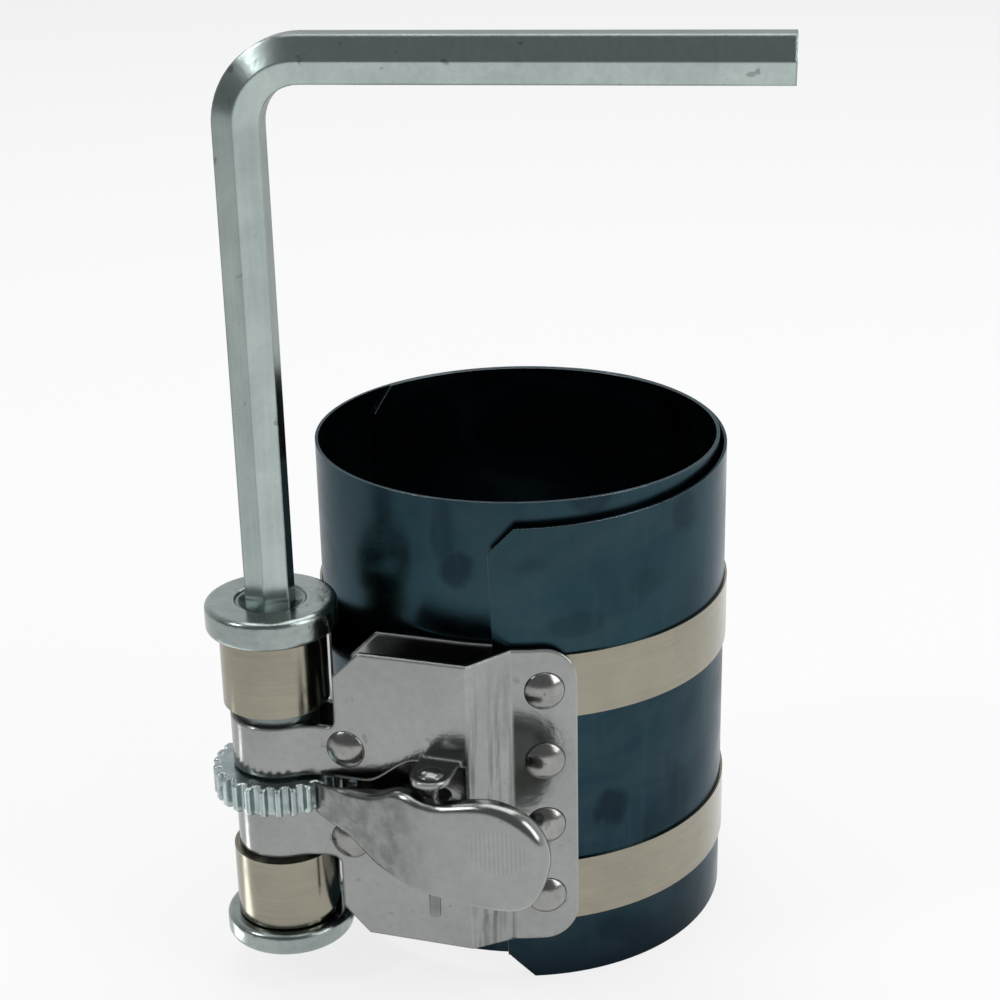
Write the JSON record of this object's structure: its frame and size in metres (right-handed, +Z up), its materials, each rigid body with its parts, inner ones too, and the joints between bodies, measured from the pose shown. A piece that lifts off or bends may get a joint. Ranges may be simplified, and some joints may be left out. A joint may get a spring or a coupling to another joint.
{
  "type": "piston ring compressor",
  "caption": "Coiled spring-steel sleeve closed by two wound straps, with a ratchet spindle, a spring-loaded release lever and a bent hex key, for squeezing piston rings.",
  "frame": {"origin": "on the sleeve's bore axis, level with the flat rim that stands on the engine block", "axes": "+Z up along the bore, from the rim that stands on the block towards the key; -Y towards the ratchet frame and lever; +X to the right as the lever is seen"},
  "size_m": [0.0895, 0.0871, 0.1535],
  "materials": {
    "blued_steel": "blued spring steel, glossy and mottled",
    "strap_steel": "bright strip, warm grey",
    "nickel_plate": "nickel plated, satin bright",
    "rivet_steel": "nickel plated, polished domes",
    "pin_steel": "dark bright steel",
    "spring_wire": "drawn spring wire",
    "shaft_steel": "turned steel",
    "zinc_steel": "zinc plated, blue passivated",
    "wheel_steel": "zinc plated, worn bright on the teeth",
    "key_steel": "zinc plated drawn hexagon bar"
  },
  "bodies": {
    "frame": {"sleeve": "blued_steel", "upper_strap": "strap_steel", "lower_strap": "strap_steel", "ratchet_frame": "nickel_plate", "upper_frame_rivet": "rivet_steel", "lower_frame_rivet": "rivet_steel", "upper_strap_rivet": "rivet_steel", "lower_strap_rivet": "rivet_steel", "upper_sleeve_rivet": "rivet_steel", "lower_sleeve_rivet": "rivet_steel", "lever_pivot_pin": "pin_steel", "lever_spring": "spring_wire"},
    "spindle": {"spindle_shaft": "shaft_steel", "upper_flange": "zinc_steel", "lower_flange": "zinc_steel", "ratchet_wheel": "wheel_steel", "upper_strap_coil": "strap_steel", "lower_strap_coil": "strap_steel"},
    "lever": {"release_lever": "nickel_plate"},
    "key": {"hex_key": "key_steel"}
  },
  "joints": [
    {"name": "spindle_turn", "type": "hinge", "parent": "frame", "child": "spindle", "pos_m": [-0.0293, -0.03832, 0], "axis": [0, 0, 1], "range_deg": [-320, 1280]},
    {"name": "lever_pivot", "type": "hinge", "parent": "frame", "child": "lever", "pos_m": [-0.0002, -0.0478, 0.0328], "axis": [0, 0, 1], "range_deg": [0, 12], "stiffness_Nm_per_rad": 0.3, "springref_deg": -8.59, "deforming": ["lever_spring"]},
    {"name": "key_pull", "type": "slide", "parent": "spindle", "child": "key", "axis": [0, 0, 1], "range_m": [0, 0.02]}
  ]
}
